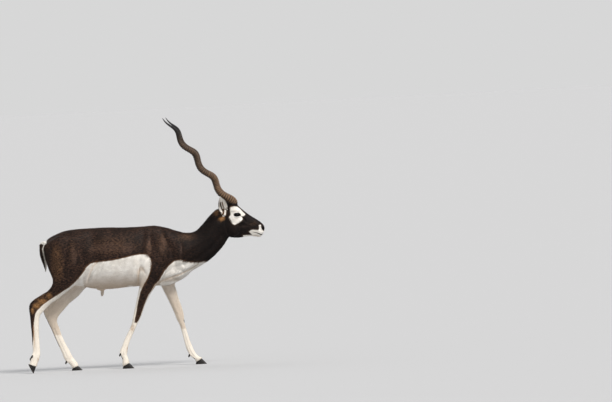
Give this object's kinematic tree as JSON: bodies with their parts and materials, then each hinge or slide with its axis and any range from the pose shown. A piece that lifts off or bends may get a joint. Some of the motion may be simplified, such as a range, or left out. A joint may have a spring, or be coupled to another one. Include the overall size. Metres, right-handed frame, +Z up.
{
  "type": "blackbuck figure",
  "caption": "Life-size walking blackbuck antelope: long spiral ringed horns, cupped ears, slim legs with cloven hooves and a short hanging tail.",
  "frame": {"origin": "on the floor, under the middle of the animal's bounding box", "axes": "+X towards the nose, +Y to the animal's left, +Z up"},
  "size_m": [1.3356, 0.3986, 1.366],
  "materials": {
    "dark_coat": "short dark brown hair",
    "face_coat": "short dark hair with white rings",
    "leg_coat": "short cream hair with dark stripes",
    "horn": "ridged horn, dull",
    "hoof": "worn black horn",
    "eye": "wet and dark"
  },
  "bodies": {
    "root": {"torso": "dark_coat", "neck": "dark_coat", "head": "face_coat", "tail": "dark_coat", "ear_left": "face_coat", "ear_right": "face_coat", "eye_left": "eye", "eye_right": "eye", "horn_left": "horn", "horn_right": "horn", "leg_front_left": "leg_coat", "leg_front_right": "leg_coat", "leg_hind_left": "leg_coat", "leg_hind_right": "leg_coat", "hoof_front_left_inner": "hoof", "hoof_front_left_outer": "hoof", "hoof_front_right_inner": "hoof", "hoof_front_right_outer": "hoof", "hoof_hind_left_inner": "hoof", "hoof_hind_left_outer": "hoof", "hoof_hind_right_inner": "hoof", "hoof_hind_right_outer": "hoof", "dewclaw_front_left_inner": "hoof", "dewclaw_front_left_outer": "hoof", "dewclaw_front_right_inner": "hoof", "dewclaw_front_right_outer": "hoof", "dewclaw_hind_left_inner": "hoof", "dewclaw_hind_left_outer": "hoof", "dewclaw_hind_right_inner": "hoof", "dewclaw_hind_right_outer": "hoof"}
  },
  "joints": []
}
